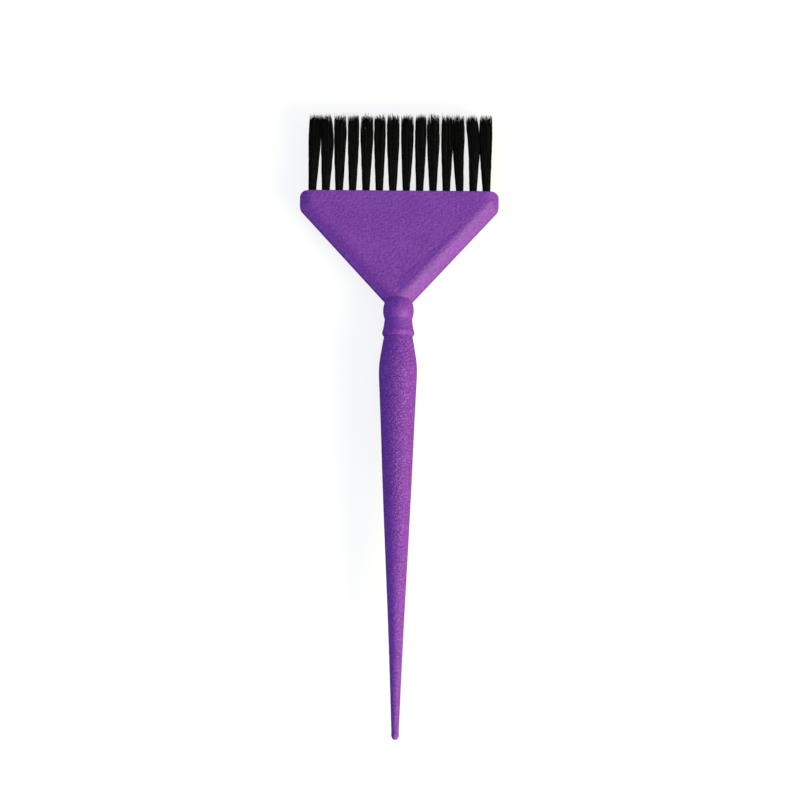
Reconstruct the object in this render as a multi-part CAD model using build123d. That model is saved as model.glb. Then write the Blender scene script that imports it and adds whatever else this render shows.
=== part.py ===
"""Hair tint brush: one injection-moulded head and handle, with two rows of folded filament tufts.

It lies on its back on a table: +X across the head, +Y towards the filament tips, +Z up. The origin
is on the table, below the middle of the whole brush. Lengths are in millimetres.

Every shape is drawn first round the handle's axis, with Y counted from the tail tip, and to_table()
then moves it into place.
"""
import math
import os

from build123d import *

# Whole brush
OVERALL_LENGTH = 210.0
BELLY_RADIUS = 6.35          # thickest place of the handle, which touches the table
BELLY_Y = 121.0

# Head, a flat trapezium seen from the front
HEAD_WIDTH = 66.8
HEAD_TOP_Y = 181.8           # flat end that the tufts stand in
SIDE_HEIGHT = 5.9            # straight part of each side, below the top
NECK_HALF_WIDTH = 4.8        # where the slanted sides run into the neck bead,
NECK_Y = 144.6               # at this height
TOP_CORNER_RADIUS = 2.0
SIDE_CORNER_RADIUS = 2.5

# Head, its section
EDGE_HALF_THICKNESS = 1.6    # wall left at the parting line
FACE_HALF_THICKNESS = 4.05
SLANT_BEVEL_WIDTH = 3.4
SIDE_BEVEL_WIDTH = 2.6
CREST_RADIUS = 4.5           # where a bevel turns into the face
MITRE_RADIUS = 4.0           # where two bevels meet
RIM_RADIUS = 0.5             # round the parting wall
END_RADIUS = 0.35            # round the flat end

# Each face sinks into a shallow dish towards the neck
DISH_DEPTH = 0.35
DISH_RIM_INSET = 4.8         # from the slanted sides to the dish's edge
DISH_FLOOR_INSET = 8.8       # and to its deepest point
DISH_TOP_Y = 172.0

# Neck: a groove, a lip, a waist, a second groove and a bead, each as (radius, Y)
GROOVE = (4.76, 132.6)
LIP = (5.36, 133.7)
LIP_END = (5.16, 134.7)
WAIST = (4.82, 136.5)
WAIST_END = (4.58, 138.5)
BEAD = (5.13, 141.4)
BEAD_END_Y = 147.4

# Handle: more points of its long swelling, each as (radius, Y)
TAPER = ((2.32, 30.7), (4.78, 83.0), (6.14, 115.0))
SHOULDER = (5.70, 127.2)     # between the belly and the groove
TAIL_SLOPE = 0.039           # radius per length where the handle starts
GROOVE_SLOPE = -0.2          # and where it runs into the groove

# Tail
TAIL_RADIUS = 1.20
TAIL_COLLAR_RADIUS = 1.25
TAIL_COLLAR_Y = 2.0
TAIL_STEP = 0.15
TAIL_NOSE_Y = 1.3
TAIL_NOSE_MIDDLE = (1.03, 0.60)
TAIL_END_RADIUS = 0.66

# Tufts: two rows, one folded bundle of filaments in each hole
TUFT_COUNT = 14
TUFT_PITCH = 4.52
ROW_OFFSET = 1.75            # of each row from the middle plane
ROWS = {"front": 1, "back": -1}
HOLE_RADIUS = 1.26
HOLE_DEPTH = 6.0
DRILL_POINT_ANGLE = 118.0
FIT_GAP = 0.02               # round a bundle in its hole
FOLD_RADIUS = 0.55
TIP_HALF_DEPTH = 1.62
# From the left: how far each bundle's tip leans to the right, and its width there
TIP_LEANS = (
    0.63, 0.36, 0.14, 0.13, 0.17, 0.0, 0.01, 0.30, 0.28, -0.01, 0.20, -0.30, -0.14, -0.31,
)
TIP_WIDTHS = (
    4.05, 4.35, 4.15, 3.75, 4.15, 3.80, 4.25, 4.30, 3.85, 4.15, 4.00, 3.90, 4.00, 4.30,
)
# How a bundle flares: (share of its free length, share of its lean and of its extra width)
FLARE = ((0.0, 0.0), (0.30, 0.48), (0.62, 0.90), (1.0, 1.0))

# Anchors: a flat strip of wire across each fold, which bites into the hole's wall at both ends
ANCHOR_WIDTH = 3.1
ANCHOR_HEIGHT = 1.7
ANCHOR_THICKNESS = 0.35
ANCHOR_LIFT = 0.8            # of bundle below the anchor, above the end of the straight hole
ANCHOR_GAP = 0.01

MARGIN = 2.0                 # by which a cutter runs past what it cuts
BEVEL_OVERRUN = 0.2          # of a slanted side's length, by which its bevel starts below the neck
HALF_WIDTH = HEAD_WIDTH / 2
SIDE_END_Y = HEAD_TOP_Y - SIDE_HEIGHT
SLANT = Vector(HALF_WIDTH - NECK_HALF_WIDTH, SIDE_END_Y - NECK_Y)
HOLE_END_Y = HEAD_TOP_Y - HOLE_DEPTH
ANCHOR_Y = HOLE_END_Y + ANCHOR_LIFT + ANCHOR_HEIGHT / 2


def to_table(shape):
    """From the drawing frame, with the tail tip at Y 0 on the axis, to the brush's own frame."""
    return Location((0, -OVERALL_LENGTH / 2, BELLY_RADIUS)) * shape


def left_too(shape):
    """A shape and its mirror image at the left."""
    return [shape, mirror(shape, about=Plane.YZ)]


def back_too(shapes):
    """Shapes on the front and their mirror images on the back."""
    return shapes + [mirror(shape, about=Plane.XY) for shape in shapes]


def tuft_x(index):
    """X of a hole, counted from the left."""
    return (index - (TUFT_COUNT - 1) / 2) * TUFT_PITCH


def head_outline():
    """The head seen from the front, with its foot inside the neck bead."""
    foot_x = NECK_HALF_WIDTH - (NECK_Y - BEAD[1]) * SLANT.X / SLANT.Y
    right = [(HALF_WIDTH, HEAD_TOP_Y), (HALF_WIDTH, SIDE_END_Y), (foot_x, BEAD[1])]
    left = [(-x, y) for x, y in reversed(right)]
    outline = make_face(Polyline(*right, *left, close=True))
    outline = fillet(outline.vertices().group_by(Axis.Y)[-1], TOP_CORNER_RADIUS)
    side_corners = outline.vertices().filter_by_position(Axis.Y, SIDE_END_Y - 0.1, SIDE_END_Y + 0.1)
    return fillet(side_corners, SIDE_CORNER_RADIUS)


def bevel_cutter(start, along, width):
    """What a bevel takes off along one right-hand side of the front face, with a round crest."""
    rise = FACE_HALF_THICKNESS - EDGE_HALF_THICKNESS
    angle = math.atan2(rise, width)
    tangent = CREST_RADIUS * math.tan(angle / 2)
    outside = (-MARGIN, EDGE_HALF_THICKNESS - MARGIN * math.tan(angle))
    crest_start = (width - tangent * math.cos(angle), FACE_HALF_THICKNESS - tangent * math.sin(angle))
    crest_middle = (
        width + tangent - CREST_RADIUS * math.sin(angle / 2),
        FACE_HALF_THICKNESS - CREST_RADIUS * (1 - math.cos(angle / 2)),
    )
    crest_end = (width + tangent, FACE_HALF_THICKNESS)
    above = FACE_HALF_THICKNESS + MARGIN
    profile = make_face(Curve() + [
        Line(outside, crest_start),
        ThreePointArc(crest_start, crest_middle, crest_end),
        Polyline(crest_end, (crest_end[0], above), (-MARGIN, above), outside),
    ])
    along = along.normalized()
    plane = Plane(origin=start, x_dir=Vector(-along.Y, along.X), z_dir=along)
    return extrude(plane * profile, amount=HEAD_WIDTH)


def dish_cutter():
    """What the dish takes off the front face: a shallow pyramid, point down, between the slants."""
    steepness = SLANT.Y / SLANT.X
    slant_foot_y = NECK_Y - NECK_HALF_WIDTH * steepness
    rim_foot_y = slant_foot_y + DISH_RIM_INSET * SLANT.length / SLANT.X
    point_y = slant_foot_y + DISH_FLOOR_INSET * SLANT.length / SLANT.X
    rim_x = (DISH_TOP_Y - rim_foot_y) / steepness
    point = Vector(0, point_y, FACE_HALF_THICKNESS - DISH_DEPTH)
    rim = [(rim_x, DISH_TOP_Y), (-rim_x, DISH_TOP_Y), (0, rim_foot_y)]
    # The pyramid is drawn at twice its size from its point, so that it runs past the face
    base = [point + (Vector(x, y, FACE_HALF_THICKNESS) - point) * 2 for x, y in rim]
    walls = [Face(Wire.make_polygon([point, base[i], base[i - 1]])) for i in range(3)]
    return Solid(Shell([*walls, Face(Wire.make_polygon(base))]))


def mitres(body):
    """The edges where a slanted bevel and its crest meet those of the straight side."""
    reach = SLANT_BEVEL_WIDTH
    low, high = EDGE_HALF_THICKNESS - RIM_RADIUS, FACE_HALF_THICKNESS
    return [
        edge for edge in body.edges()
        if abs((edge @ 0.5).Y - SIDE_END_Y) < reach
        and low < abs((edge @ 0.5).Z) < high
        and abs((edge @ 0).Z - (edge @ 1).Z) > RIM_RADIUS / 2
    ]


def rims(body):
    """The edges between the parting wall and the bevels."""
    spread = 0.2
    return [
        edge for edge in body.edges()
        if all(abs(abs((edge @ share).Z) - EDGE_HALF_THICKNESS) < spread for share in (0, 0.5, 1))
        and BEAD[1] < (edge @ 0.5).Y < HEAD_TOP_Y - TOP_CORNER_RADIUS / 2
    ]


def head():
    """The flat head, without its holes: a slab of its outline, bevelled, dished and softened."""
    body = extrude(head_outline(), amount=FACE_HALF_THICKNESS, both=True)
    slant_start = Vector(NECK_HALF_WIDTH, NECK_Y) - SLANT * BEVEL_OVERRUN
    side_start = Vector(HALF_WIDTH, SIDE_END_Y - SIDE_HEIGHT)
    body -= back_too(left_too(bevel_cutter(slant_start, SLANT, SLANT_BEVEL_WIDTH)))
    body -= back_too(left_too(bevel_cutter(side_start, Vector(0, 1), SIDE_BEVEL_WIDTH)))
    body = fillet(mitres(body), MITRE_RADIUS)
    body -= back_too([dish_cutter()])
    body = fillet(body.faces().sort_by(Axis.Y)[-1].edges(), END_RADIUS)
    return fillet(rims(body), RIM_RADIUS)


def handle():
    """Neck and handle, turned about the Y axis."""
    (bead_radius, bead_y), (waist_radius, waist_y) = BEAD, WAIST_END
    bead_rise = bead_radius - waist_radius
    bead_curve = ((bead_y - waist_y) ** 2 + bead_rise**2) / (2 * bead_rise)
    bead_end_radius = bead_radius - bead_curve + math.sqrt(bead_curve**2 - (BEAD_END_Y - bead_y) ** 2)
    bead_end = (bead_end_radius, BEAD_END_Y)
    nose = (TAIL_COLLAR_RADIUS, TAIL_NOSE_Y)
    collar = (TAIL_COLLAR_RADIUS, TAIL_COLLAR_Y)
    collar_end = (TAIL_RADIUS, TAIL_COLLAR_Y + TAIL_STEP)
    belly = (BELLY_RADIUS, BELLY_Y)
    profile = Curve() + [
        Polyline(bead_end, (0, BEAD_END_Y), (0, 0), (TAIL_END_RADIUS, 0)),
        ThreePointArc((TAIL_END_RADIUS, 0), TAIL_NOSE_MIDDLE, nose),
        Polyline(nose, collar, collar_end),
        Spline(collar_end, *TAPER, belly, tangents=[(TAIL_SLOPE, 1), (0, 1)]),
        Spline(belly, SHOULDER, GROOVE, tangents=[(0, 1), (GROOVE_SLOPE, 1)]),
        ThreePointArc(GROOVE, LIP, LIP_END),
        ThreePointArc(LIP_END, WAIST, WAIST_END),
        ThreePointArc(WAIST_END, BEAD, bead_end),
    ]
    return revolve(make_face(profile), axis=Axis.Y)


def hole(x, z):
    """A drilled blind hole with its point, and the slot that an anchor cuts in its wall."""
    point_depth = HOLE_RADIUS / math.tan(math.radians(DRILL_POINT_ANGLE / 2))
    above = HEAD_TOP_Y + MARGIN
    profile = Polyline(
        (0, above), (HOLE_RADIUS, above), (HOLE_RADIUS, HOLE_END_Y), (0, HOLE_END_Y - point_depth),
        close=True,
    )
    bore = revolve(make_face(profile), axis=Axis.Y)
    slot = Pos(0, ANCHOR_Y, 0) * Box(
        ANCHOR_WIDTH + 2 * ANCHOR_GAP, ANCHOR_HEIGHT + 2 * ANCHOR_GAP, ANCHOR_THICKNESS + 2 * ANCHOR_GAP
    )
    return Pos(x, 0, z) * (bore + slot)


def moulding():
    """Head and handle in one piece, with every tuft hole."""
    holes = [
        hole(tuft_x(index), side * ROW_OFFSET)
        for side in ROWS.values()
        for index in range(TUFT_COUNT)
    ]
    return head() + handle() - holes


def tuft(index, side):
    """One bundle, folded round its anchor in the hole and flaring from the head to its tip."""
    radius = HOLE_RADIUS - FIT_GAP
    free_length = OVERALL_LENGTH - HEAD_TOP_Y
    root = Pos(0, HEAD_TOP_Y, 0) * extrude(Plane.XZ * Circle(radius), amount=HOLE_DEPTH)
    root = fillet(root.edges().group_by(Axis.Y)[0], FOLD_RADIUS)
    sections = []
    for length_share, flare in FLARE:
        half_width = radius + (TIP_WIDTHS[index] / 2 - radius) * flare
        half_depth = radius + (TIP_HALF_DEPTH - radius) * flare
        centre = (TIP_LEANS[index] * flare, HEAD_TOP_Y + free_length * length_share, 0)
        plane = Plane(origin=centre, x_dir=(1, 0, 0), z_dir=(0, 1, 0))
        sections.append(plane * Ellipse(half_width, half_depth))
    fold = Pos(0, ANCHOR_Y, 0) * Box(
        3 * HOLE_RADIUS, ANCHOR_HEIGHT + 2 * ANCHOR_GAP, ANCHOR_THICKNESS + 2 * ANCHOR_GAP
    )
    return Pos(tuft_x(index), 0, side * ROW_OFFSET) * (root + loft(sections) - fold)


def anchor(index, side):
    """The flat wire strip that holds one tuft in its hole."""
    strip = Box(ANCHOR_WIDTH, ANCHOR_HEIGHT, ANCHOR_THICKNESS)
    return Pos(tuft_x(index), ANCHOR_Y, side * ROW_OFFSET) * strip


def main():
    os.makedirs("parts", exist_ok=True)
    export_step(to_table(moulding()), "parts/head_and_handle.step")
    for row, side in ROWS.items():
        for index in range(TUFT_COUNT):
            place = f"{row}_{index + 1:02d}"
            export_step(to_table(tuft(index, side)), f"parts/tuft_{place}.step")
            export_step(to_table(anchor(index, side)), f"parts/anchor_{place}.step")


main()
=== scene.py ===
"""Looks of a hair tint brush: a moulded purple head and handle, and two rows of black filament tufts.

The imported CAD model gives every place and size. Lengths are in metres, in the model's own frame:
+X across the head, +Y towards the filament tips, +Z up from the table.
"""
import math

import bmesh
import bpy
import numpy as np
from mathutils import Matrix, Vector


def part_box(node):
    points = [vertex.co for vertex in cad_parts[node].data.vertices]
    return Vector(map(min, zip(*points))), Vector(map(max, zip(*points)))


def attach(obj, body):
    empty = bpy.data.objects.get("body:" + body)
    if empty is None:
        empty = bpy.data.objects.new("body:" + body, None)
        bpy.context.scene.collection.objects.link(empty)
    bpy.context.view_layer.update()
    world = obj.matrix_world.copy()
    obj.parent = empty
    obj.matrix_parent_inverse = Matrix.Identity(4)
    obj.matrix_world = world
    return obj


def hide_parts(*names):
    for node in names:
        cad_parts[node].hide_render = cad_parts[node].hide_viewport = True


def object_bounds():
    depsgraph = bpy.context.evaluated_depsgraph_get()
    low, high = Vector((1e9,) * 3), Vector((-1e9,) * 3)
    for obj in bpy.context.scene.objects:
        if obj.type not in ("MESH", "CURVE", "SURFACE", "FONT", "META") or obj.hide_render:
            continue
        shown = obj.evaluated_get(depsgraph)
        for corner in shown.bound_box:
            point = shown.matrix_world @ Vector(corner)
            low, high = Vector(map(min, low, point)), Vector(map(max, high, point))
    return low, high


MM = 0.001
BODY = "root"
MOULDING = "head_and_handle"
ROWS = {"front": 1, "back": -1}
TUFT_COUNT = 14

# Camera, aimed near the middle of the brush and leaning towards the tail
AIM_RIGHT = 0.76 * MM
AIM_UP = 6.28 * MM
CAMERA_DISTANCE = 0.7
CAMERA_TILT = math.radians(9)
CAMERA_ROLL = math.radians(0.45)
LENS_MM = 94.95
SENSOR_MM = 36

# Filaments
FILAMENTS = 84               # in a tuft; each is folded in half, so it has two tips
FILAMENT_SIDES = 5
FILAMENT_RADIUS = 0.08 * MM
TIP_RADIUS = 0.030 * MM
TAPER_LENGTH = 4.5 * MM
HOLE_RADIUS = 1.24 * MM      # room for the bundle in its hole
ANCHOR_CLEARANCE = 0.01 * MM
FOLD_ANGLES = (0, 45, 90, 135, 180)
FIRST_SEED = 1000            # of the front and back rows' random draws,
ROW_SEEDS = 100              # this far to either side of it
GOLDEN_ANGLE = math.pi * (3 - math.sqrt(5))
# Free ends, by share of their own length
END_SHARES = np.array([0, 0.08, 0.17, 0.27, 0.37, 0.47, 0.57, 0.67, 0.76, 0.84, 0.91, 0.96, 1.0])
LENGTH_SPREAD = 2.15 * MM    # how much shorter than the longest an end is, on average
LENGTH_SHAPE = 6.0           # of that spread: the higher, the more alike
END_WANDER = 0.10            # of the bundle's half width
WANDER_REACH = 1.03          # and how far out it may take an end
WANDER_BY = 0.7              # of the bundle's length, where an end has wandered all the way
SQUARENESS = 1.8             # added to the circle's power of 2, at the tips
GLINT_STRENGTHS = (0.1, 1.0)          # weakest and strongest painted glint of a filament, drawn at random
# Small points at the tips, where ends near each other lean together
CLUMPS = 9                   # in each half of a bundle
CLUMP_STEP = 2.4             # angle from one to the next, about the golden angle
CLUMP_REACH = 0.95           # of the bundle's half width
CLUMP_PULL = (0.05, 0.35)
CLUMP_SPREAD = 1.0 * MM      # by which one may be shorter than another
GATHER_FROM = 0.6            # of the bundle's length
# Each end sways a little, and a few outer ends stand away from the bundle
SWAY = 0.05 * MM
SWAY_FROM_HEAD = 6 * MM      # above the head, where the sway is full
SWAY_PERIOD_MM = (3.0, 7.0)
STRAY_SHARE = 0.05
STRAY_EDGE = 0.75            # strays start beyond this share of the bundle's radius
STRAY_AWAY = (0.08, 0.22)
STRAY_FROM = 0.25            # of the bundle's length
# Bundles that bow sideways or turn aside near the tips, by number from the left
BOWS = {2: 0.04 * MM, 12: -0.25 * MM, 13: 0.40 * MM}
TIP_TURNS = {1: 0.15 * MM, 2: -0.60 * MM, 11: 0.15 * MM, 12: -0.20 * MM, 13: -0.50 * MM}
BOW_MIDDLE = 0.5             # of the bundle's length, where a bow is widest
# How a bundle flares from the head to its tips, both as shares
FLARE_AT = (0, 0.10, 0.20, 0.30, 0.40, 0.50, 0.60, 0.70, 0.80, 1.0)
FLARE_OPEN = (0, 0.15, 0.32, 0.48, 0.63, 0.76, 0.87, 0.94, 0.98, 1.0)

# Leather grain on the grip, by place along the brush
GRIP_TOP = 26.5 * MM         # just below the lip
GRIP_EDGE = 1.5 * MM         # over which the grain starts
GRIP_FULL = -5 * MM          # down to here the grain is full,
GRIP_TAIL = -80 * MM         # and here it has faded
TAIL_GRAIN = 0.45            # to this much

# Studio
HEAD_START = 36 * MM         # between the handle and the head, along the brush
STEEPEST = 0.1               # slope that the table may have
HALVINGS = 30                # of the range of slopes, to find the one at which the brush rests
FLOOR_RADIUS = 1.4
FLOOR_RINGS = (0.0, 0.1, 0.3, 0.6)
FLOOR_STEPS = 72             # round the floor
WALL_CURVE = 1.0
WALL_STEP = 6                # degrees of the curve from the floor to the wall
WALL_HEIGHT = 2.2
GLOW_RADIUS = 0.35           # within it, the table is lit evenly from below
TABLE_GLOW = 0.82
WALL_GLOW = 0.78
SKY_COLOUR = (0.75, 0.82, 1, 1)
SKY_LOW = 0.49               # strength straight down
SKY_HIGH = 0.67              # and straight up
LAMP_DISTANCE = 1.6
LAMP_SIZE = 0.9
KEY_FROM = (0.82, -0.50, 0.35)
KEY_POWER = 41
KEY_COLOUR = (1.0, 1.08, 0.37)
SHEEN_FROM = (0.585, -0.355, 0.73)
SHEEN_POWER = 28
SHEEN_COLOUR = (1.0, 0.93, 0.78)

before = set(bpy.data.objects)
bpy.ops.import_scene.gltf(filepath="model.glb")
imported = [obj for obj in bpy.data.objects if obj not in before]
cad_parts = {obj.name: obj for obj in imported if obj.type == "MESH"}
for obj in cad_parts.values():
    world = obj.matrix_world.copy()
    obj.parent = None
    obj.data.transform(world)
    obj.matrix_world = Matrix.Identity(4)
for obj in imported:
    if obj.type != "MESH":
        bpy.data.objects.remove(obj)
cad_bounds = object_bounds()
AXIS_HEIGHT = (cad_bounds[0].z + cad_bounds[1].z) / 2


# ---------------------------------------------------------------- nodes

def new_material(name):
    """A material with a Principled shader, and its node tree."""
    material = bpy.data.materials.new(name)
    material.use_nodes = True
    tree = material.node_tree
    return material, tree, tree.nodes["Principled BSDF"]


def add(tree, kind, operation=None, **inputs):
    """A node with its inputs set to numbers or linked to sockets: i0 is the first, other keys are names."""
    node = tree.nodes.new(kind)
    if operation:
        node.operation = operation
    for key, value in inputs.items():
        by_number = key[0] == "i" and key[1:].isdigit()
        socket = node.inputs[int(key[1:]) if by_number else key]
        if isinstance(value, bpy.types.NodeSocket):
            tree.links.new(value, socket)
        else:
            socket.default_value = value
    return node


def maths(tree, operation, a, b=0.0, c=0.0):
    """The result of a Math node."""
    return add(tree, "ShaderNodeMath", operation, i0=a, i1=b, i2=c).outputs[0]


def ramp(tree, value, low, high, out_low=0.0, out_high=1.0):
    """A smooth step of a value from low to high."""
    node = tree.nodes.new("ShaderNodeMapRange")
    node.interpolation_type = "SMOOTHSTEP"
    tree.links.new(value, node.inputs["Value"])
    node.inputs["From Min"].default_value = low
    node.inputs["From Max"].default_value = high
    node.inputs["To Min"].default_value = out_low
    node.inputs["To Max"].default_value = out_high
    return node.outputs["Result"]


def noise(tree, place, size, detail=2.0, roughness=0.5, distortion=0.0):
    """Noise whose features are about as long as the size."""
    node = add(
        tree, "ShaderNodeTexNoise", Vector=place, Scale=1 / size, Detail=detail,
        Roughness=roughness, Distortion=distortion,
    )
    return node.outputs["Fac"]


# ---------------------------------------------------------------- materials

PURPLE = (0.204, 0.0445, 0.442)
PURPLE_SHADED_AND_DARK = 0.80           # darkest: painted shade in the texture's hollows, and darker patches, as a share of the purple
PURPLE_LIT_AND_LIGHT = 1.20          # lightest: painted highlight on its peaks, and lighter patches
PURPLE_ROUGHNESS = (0.44, 0.54)
PURPLE_SPECULAR = 0.28
PATCH_SIZE = 9 * MM
PATCH_TONE = 0.25            # share of the patches' random tone in the purple; each grain's share below is painted shade and highlight
FINE_GRAIN_SIZE = 0.80 * MM
FINE_GRAIN_MM = 0.16         # height of the spark-eroded texture
# painted shade and highlight: the fine grain's share in the purple's tone, darker in its hollows, lighter
# on its peaks
FINE_GRAIN_SHADING = 0.75
LEATHER_SIZE = 0.95 * MM
LEATHER_GRAIN_MM = 0.25      # height of the leather grain on the grip
LEATHER_FURROW = 0.12        # how much of the noise round its middle value makes a furrow
# painted shade and highlight: the leather grain's share, darker in its furrows, lighter between them
LEATHER_GRAIN_SHADING = 0.35
PARTING_LINE_MM = 0.03       # height of the line where the mould's halves meet
PARTING_EDGES = (0.02 * MM, 0.09 * MM)

# Black nylon, and the lighter colour of its painted glint
FILAMENT_DARK = (0.0022, 0.0022, 0.0030, 1)
FILAMENT_GLINT = (0.012, 0.0115, 0.0145, 1)
FILAMENT_ROUGHNESS = (0.42, 0.60)
FILAMENT_SPECULAR = 0.2
# Streaks of painted glint and of roughness, drawn out along the filaments
STREAK_SIZE = 0.25 * MM
STREAK_STRETCH = (1, 0.06, 1)

WIRE_DARK = (0.42, 0.41, 0.39, 1)
WIRE_LIGHT = (0.62, 0.61, 0.58, 1)
WIRE_ROUGHNESS = (0.22, 0.42)
WIRE_LINE_SIZE = 0.06 * MM
WIRE_LINE_HEIGHT = 0.004 * MM
WIRE_STRETCH = (0.08, 1, 1)

FLOOR_DARK = (0.24, 0.24, 0.24, 1)
FLOOR_LIGHT = (0.26, 0.26, 0.26, 1)
FLOOR_ROUGHNESS = 0.9
FLOOR_PATCH_SIZE = 60 * MM


def scaled(colour, factor):
    """A colour made lighter or darker, with its alpha."""
    return tuple(channel * factor for channel in colour) + (1.0,)


def mix(tree, factor, first, second):
    """A colour between two, by a factor."""
    node = tree.nodes.new("ShaderNodeMix")
    node.data_type = "RGBA"
    tree.links.new(factor, node.inputs["Factor"])
    colours = [socket for socket in node.inputs if socket.type == "RGBA"]
    colours[0].default_value = first
    colours[1].default_value = second
    return [socket for socket in node.outputs if socket.type == "RGBA"][0]


def vary_roughness(tree, shader, texture, limits):
    """Roughness between two limits, by a noise."""
    tree.links.new(ramp(tree, texture, 0.2, 0.8, *limits), shader.inputs["Roughness"])


def bump_by(tree, shader, height, distance, strength=1.0):
    """Raises the surface by a height, counted in a distance."""
    bump = add(tree, "ShaderNodeBump", Strength=strength, Distance=distance, Height=height)
    tree.links.new(bump.outputs["Normal"], shader.inputs["Normal"])


def grip_mask(tree, along):
    """1 on the grip below the lip and 0 above it, fading towards the tail."""
    lip = ramp(tree, along, GRIP_TOP, GRIP_TOP + GRIP_EDGE, 1, 0)
    fade = ramp(tree, along, GRIP_TAIL, GRIP_FULL, TAIL_GRAIN, 1)
    return maths(tree, "MULTIPLY", lip, fade)


def object_place(tree):
    """Socket of the place in the object's own frame."""
    return add(tree, "ShaderNodeTexCoord").outputs["Object"]


def distance_from(tree, value, middle):
    """How far a value is from another, either way."""
    return maths(tree, "ABSOLUTE", maths(tree, "SUBTRACT", value, middle))


def stretched_place(tree, scale):
    """Place in the object's own frame, drawn out along the axis with the small scale."""
    mapping = add(tree, "ShaderNodeMapping", Vector=object_place(tree))
    mapping.inputs["Scale"].default_value = scale
    return mapping.outputs["Vector"]


def purple_plastic():
    """Moulded polypropylene: spark-eroded all over, with a leather grain along the handle's grip. Its
    colour has painted shade in the grain's hollows and painted highlight on its peaks, over patches of
    random tone.
    """
    material, tree, shader = new_material("purple_plastic")
    place = object_place(tree)
    axes = add(tree, "ShaderNodeSeparateXYZ", Vector=place)

    fine = noise(tree, place, FINE_GRAIN_SIZE, detail=0.4)
    patches = noise(tree, place, PATCH_SIZE, detail=3)
    worms = noise(tree, place, LEATHER_SIZE, detail=0.4, distortion=0.5)
    pebbles = ramp(tree, distance_from(tree, worms, 0.5), 0.0, LEATHER_FURROW)
    grain = maths(tree, "MULTIPLY", pebbles, grip_mask(tree, axes.outputs["Y"]))
    off_parting = distance_from(tree, axes.outputs["Z"], AXIS_HEIGHT)
    parting = ramp(tree, off_parting, *PARTING_EDGES, 1, 0)

    height = maths(tree, "MULTIPLY", fine, FINE_GRAIN_MM)
    height = maths(tree, "MULTIPLY_ADD", grain, LEATHER_GRAIN_MM, height)
    height = maths(tree, "MULTIPLY_ADD", parting, PARTING_LINE_MM, height)
    bump_by(tree, shader, height, MM)

    # Painted shade and highlight: the colour follows the grains' height, darker in hollows and lighter on
    # peaks; the patches add a random tone
    tone = maths(tree, "MULTIPLY", fine, FINE_GRAIN_SHADING)
    tone = maths(tree, "MULTIPLY_ADD", grain, LEATHER_GRAIN_SHADING, tone)
    tone = maths(tree, "MULTIPLY_ADD", patches, PATCH_TONE, tone)
    tone = ramp(tree, tone, 0.25, 0.75)
    colour = mix(tree, tone, scaled(PURPLE, PURPLE_SHADED_AND_DARK), scaled(PURPLE, PURPLE_LIT_AND_LIGHT))
    tree.links.new(colour, shader.inputs["Base Color"])
    vary_roughness(tree, shader, patches, PURPLE_ROUGHNESS)
    shader.inputs["Specular IOR Level"].default_value = PURPLE_SPECULAR
    return material


def black_filament():
    """Black nylon with painted glints: some filaments, at random, lighter in faint lengthwise streaks, as
    if catching light; the streaks also vary the roughness.
    """
    material, tree, shader = new_material("black_filament")
    filament_glint = add(tree, "ShaderNodeAttribute")
    filament_glint.attribute_name = "filament_glint"
    streaks = noise(tree, stretched_place(tree, STREAK_STRETCH), STREAK_SIZE)
    # Painted glint: each filament's random strength times the streaks lightens its black
    tone = maths(tree, "MULTIPLY", filament_glint.outputs["Fac"], streaks)
    tree.links.new(mix(tree, tone, FILAMENT_DARK, FILAMENT_GLINT), shader.inputs["Base Color"])
    vary_roughness(tree, shader, streaks, FILAMENT_ROUGHNESS)
    shader.inputs["Specular IOR Level"].default_value = FILAMENT_SPECULAR
    return material


def anchor_wire():
    """Drawn and flattened steel wire, with fine lines along its length."""
    material, tree, shader = new_material("anchor_wire")
    lines = noise(tree, stretched_place(tree, WIRE_STRETCH), WIRE_LINE_SIZE, detail=3)
    tree.links.new(mix(tree, lines, WIRE_DARK, WIRE_LIGHT), shader.inputs["Base Color"])
    vary_roughness(tree, shader, lines, WIRE_ROUGHNESS)
    bump_by(tree, shader, lines, WIRE_LINE_HEIGHT, strength=0.5)
    shader.inputs["Metallic"].default_value = 1.0
    return material


# ---------------------------------------------------------------- tufts

def smooth(t):
    """A smooth step from 0 to 1."""
    t = np.clip(t, 0, 1)
    return t * t * (3 - 2 * t)


def half_disc(rng):
    """Places of the filaments in a unit disc as they stand in the hole, one side of the anchor: x and z."""
    index = np.arange(2 * FILAMENTS) + 0.5
    radius = np.sqrt(index / (2 * FILAMENTS))
    angle = index * GOLDEN_ANGLE + rng.uniform(0, 2 * math.pi)
    x = radius * np.cos(angle)
    z = radius * np.sin(angle)
    return x[z > 0], z[z > 0]


def squared(x, z, power):
    """Moves points of a unit disc outwards, to fill a rounder or squarer outline: 2 is a circle."""
    radius = np.maximum(np.hypot(x, z), 1e-6)
    reach = (np.abs(x / radius) ** power + np.abs(z / radius) ** power) ** (-1 / power)
    return x * reach, z * reach


def wandered(x, z, rng):
    """Where the ends of filaments that stand at x and z in the hole come to at the tips."""
    tip_x = x + rng.normal(0, END_WANDER, len(x))
    tip_z = z + rng.normal(0, END_WANDER, len(x))
    outside = np.maximum(1, np.hypot(tip_x, tip_z) / WANDER_REACH)
    return tip_x / outside, tip_z / outside


def clumped(tip_x, tip_z, rng):
    """The nearest of the bundle's small points, for each end: its number and its place."""
    order = np.arange(CLUMPS) + 0.5
    angle = rng.uniform(0, 2 * math.pi) + order * CLUMP_STEP
    clump_x = np.sqrt(order / CLUMPS) * CLUMP_REACH * np.cos(angle)
    clump_z = np.sqrt(order / CLUMPS) * CLUMP_REACH * np.sin(angle)
    gap = np.hypot(tip_x[:, None] - clump_x[None, :], tip_z[:, None] - clump_z[None, :])
    clump = gap.argmin(axis=1)
    return clump, clump_x[clump][:, None], clump_z[clump][:, None]


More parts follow.
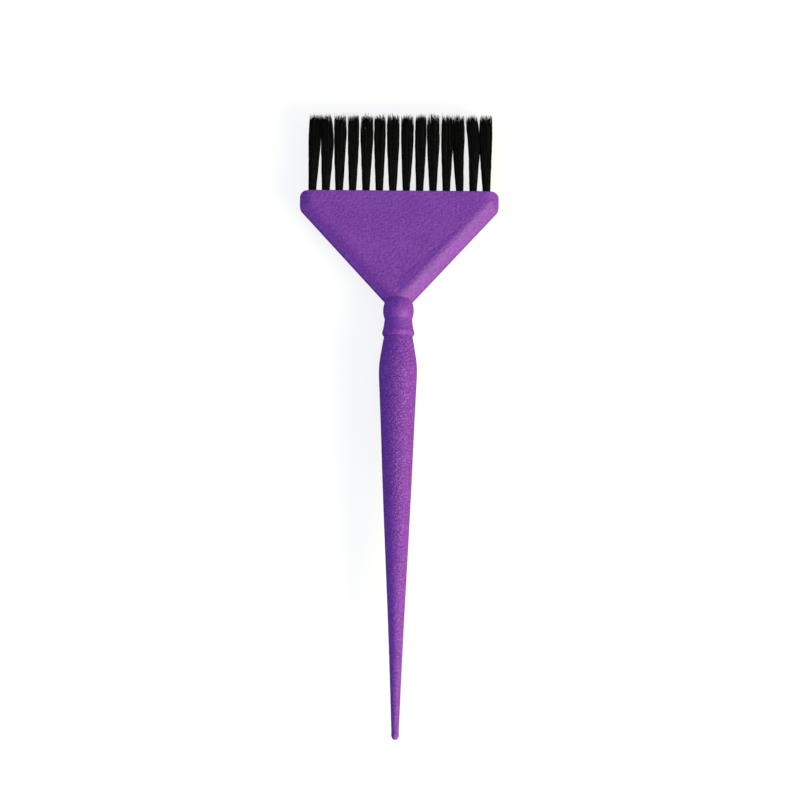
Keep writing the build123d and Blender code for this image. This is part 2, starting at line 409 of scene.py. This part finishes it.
def centre_line(tuft, share, opened):
    """Where the middle of the bundle stands, across the head."""
    near_tip = smooth((share - GATHER_FROM) / (1 - GATHER_FROM))
    bow = smooth(share / BOW_MIDDLE) * smooth((1 - share) / (1 - BOW_MIDDLE))
    centre = tuft["x"] + (tuft["tip_x"] - tuft["x"]) * opened
    return centre + tuft["bow"] * bow + tuft["tip_turn"] * near_tip


def free_ends(tuft, x, z, rng):
    """Lines of one half's free ends, from the head's end face to the tips."""
    count = len(x)
    tip_x, tip_z = wandered(x, z, rng)
    clump, clump_x, clump_z = clumped(tip_x, tip_z, rng)
    pull = rng.uniform(*CLUMP_PULL, CLUMPS)[clump][:, None]

    length = tuft["length"] - rng.gamma(LENGTH_SHAPE, LENGTH_SPREAD / LENGTH_SHAPE, count)
    length = length - rng.uniform(0, CLUMP_SPREAD, CLUMPS)[clump]
    up = END_SHARES[None, :] * length[:, None]
    share = up / tuft["length"]
    opened = np.interp(share, FLARE_AT, FLARE_OPEN)

    wander = smooth(share / WANDER_BY)
    u = x[:, None] * (1 - wander) + tip_x[:, None] * wander
    v = z[:, None] * (1 - wander) + tip_z[:, None] * wander
    gather = smooth((share - GATHER_FROM) / (1 - GATHER_FROM)) * pull
    u = u + (clump_x - u) * gather
    v = v + (clump_z - v) * gather
    u, v = squared(u, v, 2 + SQUARENESS * opened)

    stray = (rng.random(count) < STRAY_SHARE) & (np.hypot(x, z) > STRAY_EDGE)
    push = np.where(stray, rng.uniform(*STRAY_AWAY, count), 0)[:, None]
    away = 1 + push * smooth((share - STRAY_FROM) / (1 - STRAY_FROM))

    half_width = tuft["root"] + (tuft["tip_width"] - tuft["root"]) * opened
    half_depth = tuft["root"] + (tuft["tip_depth"] - tuft["root"]) * opened
    sway = SWAY * smooth(up / SWAY_FROM_HEAD)
    phase = rng.uniform(0, 2 * math.pi, (2, count, 1))
    turns = 2 * math.pi * up / (rng.uniform(*SWAY_PERIOD_MM, (count, 1)) * MM)
    across = centre_line(tuft, share, opened) + u * away * half_width + sway * np.sin(turns + phase[0])
    deep = tuft["z"] + v * away * half_depth + sway * np.sin(turns + phase[1])
    return np.stack([across, tuft["y"] + up, deep], axis=2)


def folds(tuft, x, z):
    """Lines of the filaments inside the hole: past the anchor, round below it and past it again."""
    low, high = tuft["anchor"]
    beside = (high.z - low.z) / 2 + FILAMENT_RADIUS + ANCHOR_CLEARANCE
    offset = beside + z * (tuft["root"] - beside)
    depth = offset - (high.z - low.z) / 2
    angles = np.radians(FOLD_ANGLES)[None, :]
    across = np.repeat((tuft["x"] + x * tuft["root"])[:, None], len(FOLD_ANGLES) + 2, axis=1)
    along = low.y - depth[:, None] * np.sin(angles)
    deep = tuft["z"] + offset[:, None] * np.cos(angles)
    start = np.full((len(x), 1), high.y)
    along = np.concatenate([start, along, start], axis=1)
    deep = np.concatenate([deep[:, :1], deep, deep[:, -1:]], axis=1)
    return np.stack([across, along, deep], axis=2)


def tubes(lines, radii):
    """Corners, four-sided faces and end caps of a tube along each line."""
    count, length, _ = lines.shape
    ahead = np.gradient(lines, axis=1)
    ahead /= np.linalg.norm(ahead, axis=2, keepdims=True)
    first = np.array([1.0, 0, 0]) - ahead * ahead[..., :1]
    first /= np.linalg.norm(first, axis=2, keepdims=True)
    second = np.cross(ahead, first)
    turn = np.arange(FILAMENT_SIDES) * 2 * math.pi / FILAMENT_SIDES
    ring = first[:, :, None] * np.cos(turn)[:, None] + second[:, :, None] * np.sin(turn)[:, None]
    corners = (lines[:, :, None] + ring * radii[:, :, None, None]).reshape(-1, 3)

    start = np.arange(count)[:, None] * length * FILAMENT_SIDES
    around = np.arange(FILAMENT_SIDES)[None, :]
    last_ring = start + (length - 1) * FILAMENT_SIDES + around
    caps = np.concatenate([start + around[:, ::-1], last_ring])
    level = start[:, :, None] + np.arange(length - 1)[None, :, None] * FILAMENT_SIDES
    above = level + FILAMENT_SIDES
    after = (around + 1) % FILAMENT_SIDES
    walls = np.stack([level + around, level + after, above + after, above + around], axis=-1)
    return corners, walls.reshape(-1, 4), caps


def place_object(name, data):
    """An object of a mesh, lamp or camera, in the scene."""
    thing = bpy.data.objects.new(name, data)
    bpy.context.scene.collection.objects.link(thing)
    return thing


def mesh_piece(name, corners, walls, caps, material):
    """A smooth mesh object from corners, four-sided walls and end caps."""
    mesh = bpy.data.meshes.new(name)
    faces = walls.tolist() + caps.tolist()
    mesh.from_pydata(corners.tolist(), [], faces)
    mesh.polygons.foreach_set("use_smooth", np.ones(len(faces), bool))
    mesh.materials.append(material)
    mesh.update()
    return place_object(name, mesh)


def tuft_measures(row, index):
    """Places and sizes of a tuft, from its plain solid and its anchor."""
    place = f"{row}_{index + 1:02d}"
    low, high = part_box(f"tuft_{place}")
    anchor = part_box(f"anchor_{place}")
    head_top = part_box(MOULDING)[1].y
    return {
        "x": (anchor[0].x + anchor[1].x) / 2,
        "y": head_top,
        "z": (anchor[0].z + anchor[1].z) / 2,
        "root": HOLE_RADIUS - FILAMENT_RADIUS,
        "tip_x": (low.x + high.x) / 2,
        "tip_width": (high.x - low.x) / 2 - FILAMENT_RADIUS,
        "tip_depth": (high.z - low.z) / 2 - FILAMENT_RADIUS,
        "length": high.y - head_top,
        "anchor": anchor,
        "bow": BOWS.get(index + 1, 0),
        "tip_turn": TIP_TURNS.get(index + 1, 0),
    }


def filament_tuft(row, index, material):
    """One tuft of filaments, each folded in half round the anchor, in place of its plain solid."""
    rng = np.random.default_rng(FIRST_SEED + ROW_SEEDS * ROWS[row] + index)
    tuft = tuft_measures(row, index)
    x, z = half_disc(rng)
    front = free_ends(tuft, x, z, rng)
    back = free_ends(tuft, x, -z, rng)
    lines = np.concatenate([front[:, ::-1], folds(tuft, x, z), back], axis=1)

    middle = lines.shape[1] // 2
    front_tip = np.repeat(lines[:, :1, 1], middle, axis=1)
    back_tip = np.repeat(lines[:, -1:, 1], lines.shape[1] - middle, axis=1)
    below_tip = np.concatenate([front_tip, back_tip], axis=1) - lines[..., 1]
    radii = TIP_RADIUS + (FILAMENT_RADIUS - TIP_RADIUS) * np.clip(below_tip / TAPER_LENGTH, 0, 1)

    piece = mesh_piece(f"filaments_{row}_{index + 1:02d}", *tubes(lines, radii), material)
    # Painted glint: a random strength for each filament, read by its material
    glints = np.repeat(rng.uniform(*GLINT_STRENGTHS, len(x)), lines.shape[1] * FILAMENT_SIDES)
    piece.data.attributes.new("filament_glint", "FLOAT", "POINT").data.foreach_set("value", glints)
    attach(piece, BODY)
    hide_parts(f"tuft_{row}_{index + 1:02d}")


# ---------------------------------------------------------------- studio

def resting_slope():
    """Slope and height of the table, on which the belly and the filament tips both rest."""
    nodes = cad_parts
    points = np.concatenate([[v.co for v in node.data.vertices] for node in nodes.values()])
    handle = points[points[:, 1] < HEAD_START]
    rest = points[points[:, 1] > HEAD_START]
    low, high = 0.0, STEEPEST
    for _ in range(HALVINGS):
        slope = (low + high) / 2
        if (rest[:, 2] - slope * rest[:, 1]).min() > (handle[:, 2] - slope * handle[:, 1]).min():
            low = slope
        else:
            high = slope
    return slope, (handle[:, 2] - slope * handle[:, 1]).min()


def floor_material():
    """A pale, matte, lit table."""
    material, tree, shader = new_material("pale_floor")
    place = object_place(tree)
    tone = noise(tree, place, FLOOR_PATCH_SIZE)
    tree.links.new(mix(tree, tone, FLOOR_DARK, FLOOR_LIGHT), shader.inputs["Base Color"])
    shader.inputs["Roughness"].default_value = FLOOR_ROUGHNESS
    shader.inputs["Specular IOR Level"].default_value = 0.0
    shader.inputs["Emission Color"].default_value = (1, 1, 1, 1)
    away = add(tree, "ShaderNodeVectorMath", "LENGTH", i0=place).outputs["Value"]
    glow = ramp(tree, away, GLOW_RADIUS, FLOOR_RADIUS, TABLE_GLOW, WALL_GLOW)
    tree.links.new(glow, shader.inputs["Emission Strength"])
    material.cycles.emission_sampling = "NONE"
    return material


def floor_mesh():
    """A wide flat disc that turns up into a wall all round."""
    profile = [(FLOOR_RADIUS * share, 0) for share in FLOOR_RINGS]
    for angle in np.radians(np.arange(0, 91, WALL_STEP)):
        profile.append((FLOOR_RADIUS + WALL_CURVE * math.sin(angle), WALL_CURVE * (1 - math.cos(angle))))
    profile.append((FLOOR_RADIUS + WALL_CURVE, WALL_HEIGHT))
    mesh = bpy.data.meshes.new("floor")
    turning = bmesh.new()
    corners = [turning.verts.new((radius, 0, height)) for radius, height in profile]
    edges = [turning.edges.new(pair) for pair in zip(corners, corners[1:])]
    bmesh.ops.spin(
        turning, geom=corners + edges, cent=(0, 0, 0), axis=(0, 0, 1), angle=2 * math.pi,
        steps=FLOOR_STEPS, use_merge=True,
    )
    bmesh.ops.remove_doubles(turning, verts=turning.verts, dist=MM)
    bmesh.ops.recalc_face_normals(turning, faces=turning.faces)
    turning.to_mesh(mesh)
    turning.free()
    mesh.polygons.foreach_set("use_smooth", [True] * len(mesh.polygons))
    mesh.materials.append(floor_material())
    return mesh


def floor():
    """The table that the brush rests on. It doesn't light the brush."""
    table = place_object("floor", floor_mesh())
    slope, height = resting_slope()
    table.location.z = height
    table.rotation_euler.x = math.atan(slope)
    table.visible_diffuse = False
    table.visible_glossy = False


def soft_box(name, direction, power, colour):
    """A square lamp that faces the brush from a direction."""
    data = bpy.data.lights.new(name, "AREA")
    data.shape = "SQUARE"
    data.size = LAMP_SIZE
    data.energy = power
    data.color = colour
    light = place_object(name, data)
    direction = Vector(direction).normalized()
    light.location = direction * LAMP_DISTANCE
    light.rotation_mode = "QUATERNION"
    light.rotation_quaternion = direction.to_track_quat("Z", "Y")
    return light


def sky():
    """An even, cool sky that only shades, a little stronger from above."""
    world = bpy.data.worlds.new("studio")
    bpy.context.scene.world = world
    world.use_nodes = True
    tree = world.node_tree
    background = tree.nodes["Background"]
    background.inputs["Color"].default_value = SKY_COLOUR
    place = add(tree, "ShaderNodeTexCoord").outputs["Generated"]
    axes = add(tree, "ShaderNodeSeparateXYZ", Vector=place)
    strength = ramp(tree, axes.outputs["Z"], -1, 1, SKY_LOW, SKY_HIGH)
    tree.links.new(strength, background.inputs["Strength"])
    world.cycles_visibility.glossy = False


def lights():
    """A low warm lamp at the right that only shades, and a higher one that only shines."""
    key = soft_box("key", KEY_FROM, KEY_POWER, KEY_COLOUR)
    key.visible_glossy = False
    sheen = soft_box("sheen", SHEEN_FROM, SHEEN_POWER, SHEEN_COLOUR)
    sheen.visible_diffuse = False


def camera():
    """The view from above, leaning towards the tail."""
    data = bpy.data.cameras.new("camera")
    data.lens = LENS_MM
    data.sensor_width = SENSOR_MM
    eye = place_object("camera", data)
    low, high = cad_bounds
    target = (low + high) / 2 + Vector((AIM_RIGHT, AIM_UP, 0))
    back = Vector((0, -math.sin(CAMERA_TILT), math.cos(CAMERA_TILT)))
    eye.matrix_world = (
        Matrix.Translation(target + back * CAMERA_DISTANCE)
        @ Matrix.Rotation(CAMERA_TILT, 4, "X")
        @ Matrix.Rotation(CAMERA_ROLL, 4, "Z")
    )
    bpy.context.scene.camera = eye


def paint(node, material):
    """Gives a CAD piece its material."""
    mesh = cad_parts[node].data
    mesh.materials.clear()
    mesh.materials.append(material)


def main():
    """Builds the studio, paints the CAD pieces and puts filaments in place of the plain tufts."""
    bpy.context.scene.view_settings.view_transform = "Standard"
    camera()
    sky()
    lights()
    floor()
    paint(MOULDING, purple_plastic())
    filament = black_filament()
    wire = anchor_wire()
    for row in ROWS:
        for index in range(TUFT_COUNT):
            filament_tuft(row, index, filament)
            paint(f"anchor_{row}_{index + 1:02d}", wire)


main()
